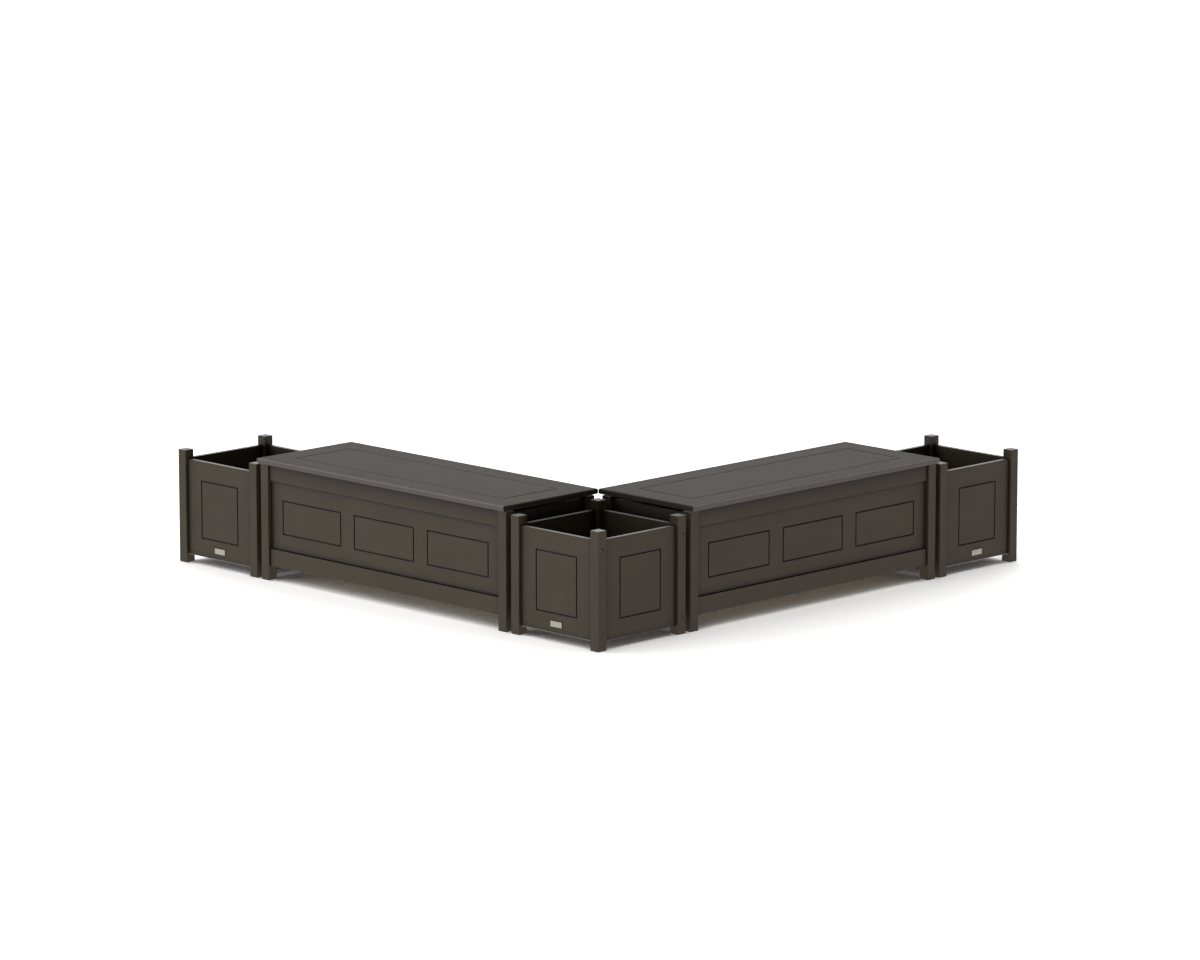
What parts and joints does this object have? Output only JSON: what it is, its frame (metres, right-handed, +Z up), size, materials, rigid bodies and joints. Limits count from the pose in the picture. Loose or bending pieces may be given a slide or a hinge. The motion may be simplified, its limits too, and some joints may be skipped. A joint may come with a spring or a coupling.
{
  "type": "bench with planter",
  "caption": "Low outdoor corner seating set: boxed storage benches with lift-up lids between square open-topped planter boxes, in dark boards with routed frame lines.",
  "frame": {"origin": "on the ground, in the middle of the set's square footprint", "axes": "+Z up; the right bench runs along +X and the left bench along +Y from the corner planter, so the set's outer fronts face -Y and -X"},
  "size_m": [2.1484, 2.1484, 0.44],
  "materials": {
    "lumber": "dark brown-grey recycled plastic lumber, satin, with faint lengthwise streaks",
    "plate": "pale brushed blank plate",
    "steel": "zinc-plated sheet steel"
  },
  "bodies": {
    "root": {"corner_planter_front_left_post": "lumber", "corner_planter_front_right_post": "lumber", "corner_planter_back_right_post": "lumber", "corner_planter_back_left_post": "lumber", "corner_planter_front_panel": "lumber", "corner_planter_right_panel": "lumber", "corner_planter_back_panel": "lumber", "corner_planter_left_panel": "lumber", "corner_planter_floor": "lumber", "corner_planter_plaque": "plate", "left_bench_front_left_post": "lumber", "left_bench_front_right_post": "lumber", "left_bench_back_right_post": "lumber", "left_bench_back_left_post": "lumber", "left_bench_front_top_rail": "lumber", "left_bench_front_panel": "lumber", "left_bench_front_bottom_rail": "lumber", "left_bench_back_panel": "lumber", "left_bench_left_end_panel": "lumber", "left_bench_right_end_panel": "lumber", "left_bench_floor": "lumber", "left_bench_left_hinge": "steel", "left_bench_right_hinge": "steel", "left_planter_front_left_post": "lumber", "left_planter_front_right_post": "lumber", "left_planter_back_right_post": "lumber", "left_planter_back_left_post": "lumber", "left_planter_front_panel": "lumber", "left_planter_right_panel": "lumber", "left_planter_back_panel": "lumber", "left_planter_left_panel": "lumber", "left_planter_floor": "lumber", "left_planter_plaque": "plate", "right_bench_front_left_post": "lumber", "right_bench_front_right_post": "lumber", "right_bench_back_right_post": "lumber", "right_bench_back_left_post": "lumber", "right_bench_front_top_rail": "lumber", "right_bench_front_panel": "lumber", "right_bench_front_bottom_rail": "lumber", "right_bench_back_panel": "lumber", "right_bench_left_end_panel": "lumber", "right_bench_right_end_panel": "lumber", "right_bench_floor": "lumber", "right_bench_left_hinge": "steel", "right_bench_right_hinge": "steel", "right_planter_front_left_post": "lumber", "right_planter_front_right_post": "lumber", "right_planter_back_right_post": "lumber", "right_planter_back_left_post": "lumber", "right_planter_front_panel": "lumber", "right_planter_right_panel": "lumber", "right_planter_back_panel": "lumber", "right_planter_left_panel": "lumber", "right_planter_floor": "lumber", "right_planter_plaque": "plate"},
    "left_lid": {"left_bench_lid": "lumber"},
    "right_lid": {"right_bench_lid": "lumber"}
  },
  "joints": [
    {"name": "left_lid", "type": "hinge", "parent": "root", "child": "left_lid", "pos_m": [-0.62655, 0.00725, 0.4345], "axis": [0, 1, 0], "range_deg": [0, 90]},
    {"name": "right_lid", "type": "hinge", "parent": "root", "child": "right_lid", "pos_m": [0.00725, -0.62655, 0.4345], "axis": [-1, 0, 0], "range_deg": [0, 90]}
  ]
}
